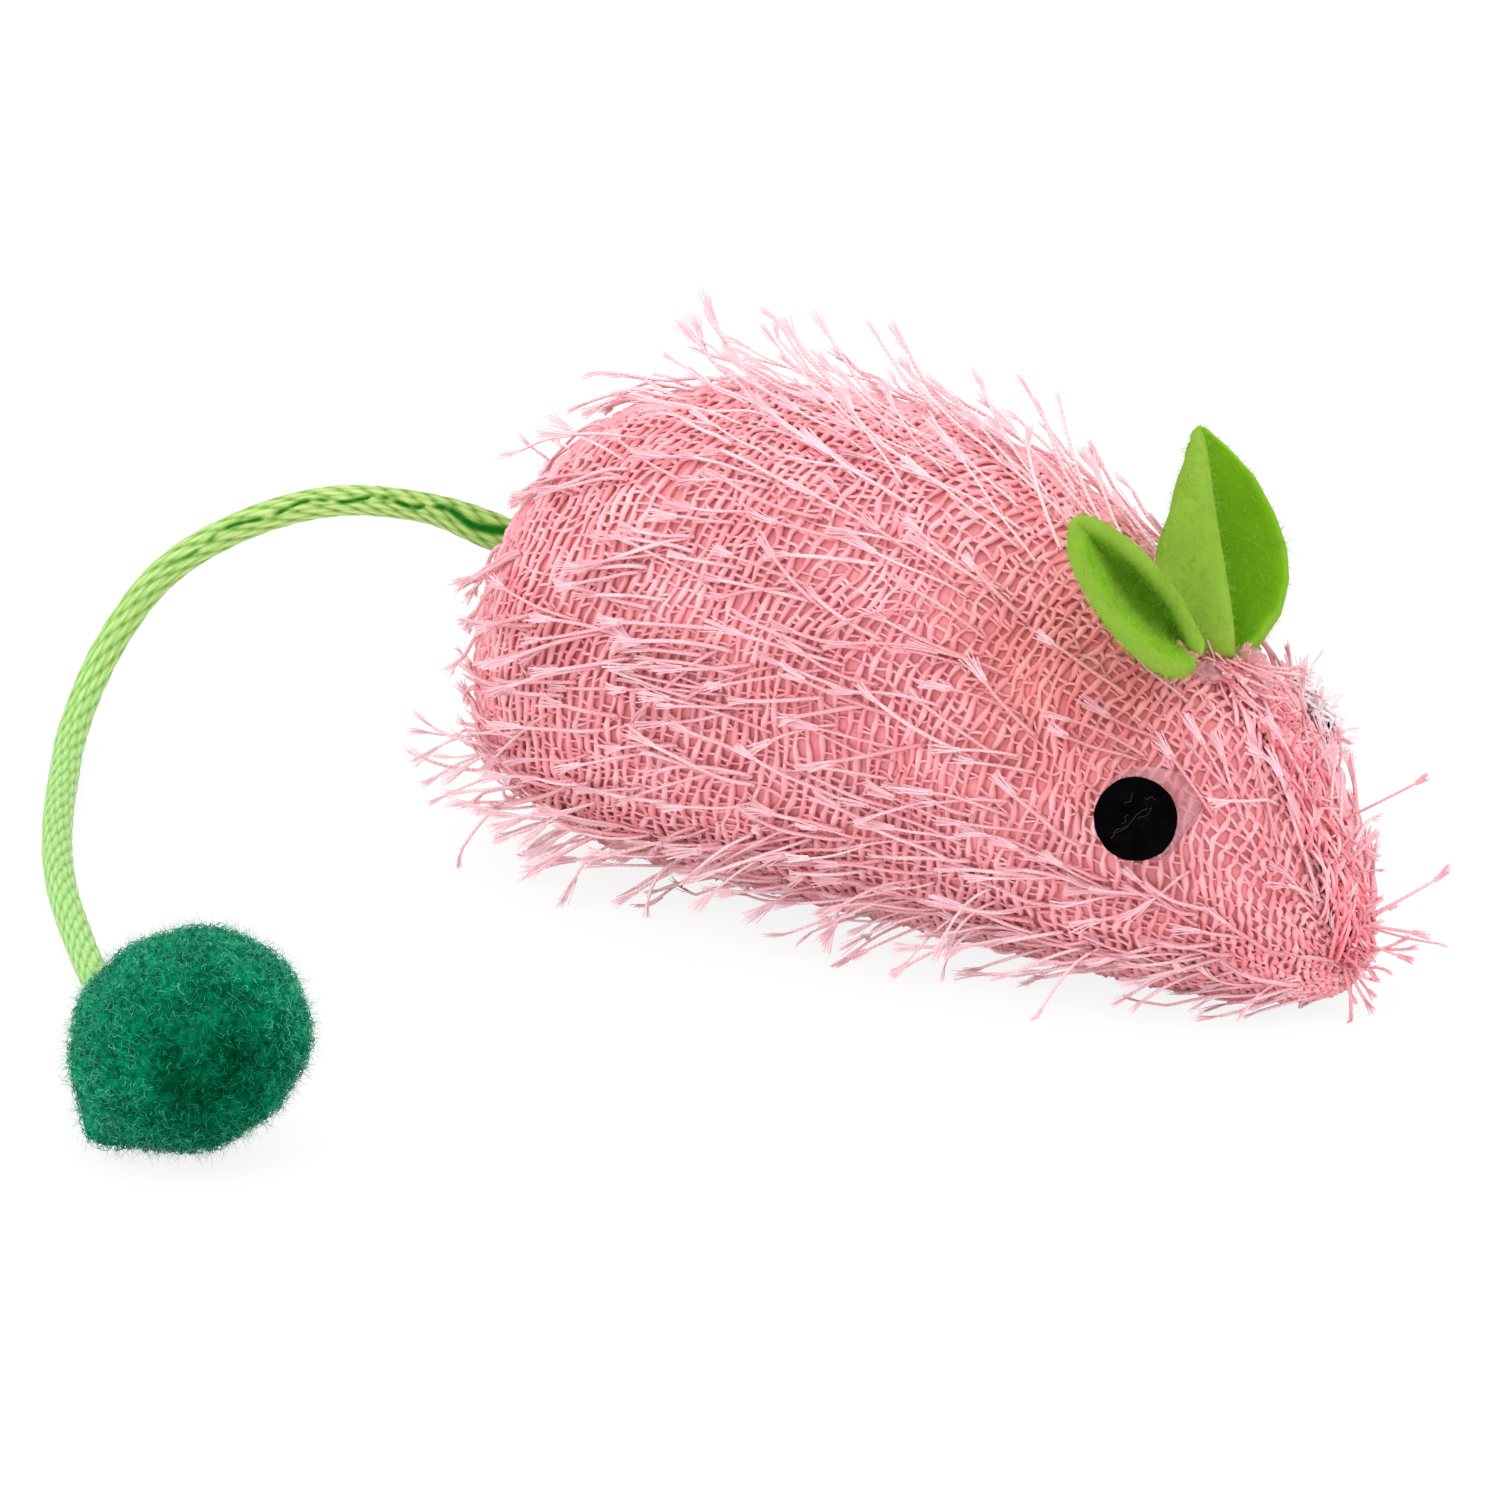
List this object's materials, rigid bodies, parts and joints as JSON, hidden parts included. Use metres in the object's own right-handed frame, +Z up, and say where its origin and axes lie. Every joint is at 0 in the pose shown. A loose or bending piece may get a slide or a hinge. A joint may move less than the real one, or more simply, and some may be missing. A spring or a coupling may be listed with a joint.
{
  "type": "catnip mouse",
  "caption": "Stuffed toy mouse in pink net knit with pulled pile, folded green felt ears, black felt disc eyes and a green satin cord tail ending in a fuzzy pom-pom.",
  "frame": {"origin": "middle of the belly, on the flat patch that the mouse rests on", "axes": "+X to the nose, +Y to the mouse's left, +Z up"},
  "size_m": [0.1199, 0.1058, 0.0434],
  "materials": {
    "pink_knit": "open net knit, matt",
    "seam_thread": "frayed seam, matt",
    "dusky_cloth": "plain cloth, matt",
    "white_fibre": "loose fibre",
    "dried_leaf": "dried leaf, matt",
    "black_felt": "short-napped felt",
    "clear_glue": "clear set glue",
    "lime_felt": "soft felt, matt",
    "lime_cord": "satin",
    "dark_yarn": "fuzzy, matt"
  },
  "bodies": {
    "mouse": {"knit_cover": "pink_knit", "nose_seam": "seam_thread", "backing_cloth": "dusky_cloth", "stuffing": "white_fibre", "catnip_fill": "dried_leaf", "eye_right": "black_felt", "eye_left": "black_felt", "eye_glue_right": "clear_glue", "eye_glue_left": "clear_glue", "ear_glue": "clear_glue", "tail_knot": "lime_cord"},
    "tail_root": {"tail_root": "lime_cord"},
    "tail": {"tail_cord": "lime_cord"},
    "pompom": {"pompom": "dark_yarn", "pompom_knot": "lime_cord", "pompom_glue": "clear_glue"},
    "ear_right": {"ear_right": "lime_felt"},
    "ear_left": {"ear_left": "lime_felt"}
  },
  "joints": [
    {"name": "tail_swing", "type": "hinge", "parent": "mouse", "child": "tail_root", "pos_m": [-0.0412, 0, 0.0212], "axis": [0, 0, 1], "range_deg": [-45, 45]},
    {"name": "tail_lift", "type": "hinge", "parent": "tail_root", "child": "tail", "pos_m": [-0.0523, 0.0017, 0.0211], "axis": [-0.9745, 0.1586, -0.1586], "range_deg": [0, 80]},
    {"name": "pompom_swing", "type": "hinge", "parent": "tail", "child": "pompom", "pos_m": [-0.0236, -0.0709, 0.005], "axis": [0, 0, 1], "range_deg": [-35, 35]},
    {"name": "ear_right_flop", "type": "hinge", "parent": "mouse", "child": "ear_right", "pos_m": [0.02754, -0.0017, 0.02873], "axis": [0.868, -0.4831, -0.1144], "range_deg": [-15, 15], "stiffness_Nm_per_rad": 0.0003},
    {"name": "ear_left_flop", "type": "hinge", "parent": "mouse", "child": "ear_left", "pos_m": [0.02754, 0.0029, 0.02873], "axis": [0.764, 0.6338, 0.1207], "range_deg": [-6, 15], "stiffness_Nm_per_rad": 0.0003}
  ]
}
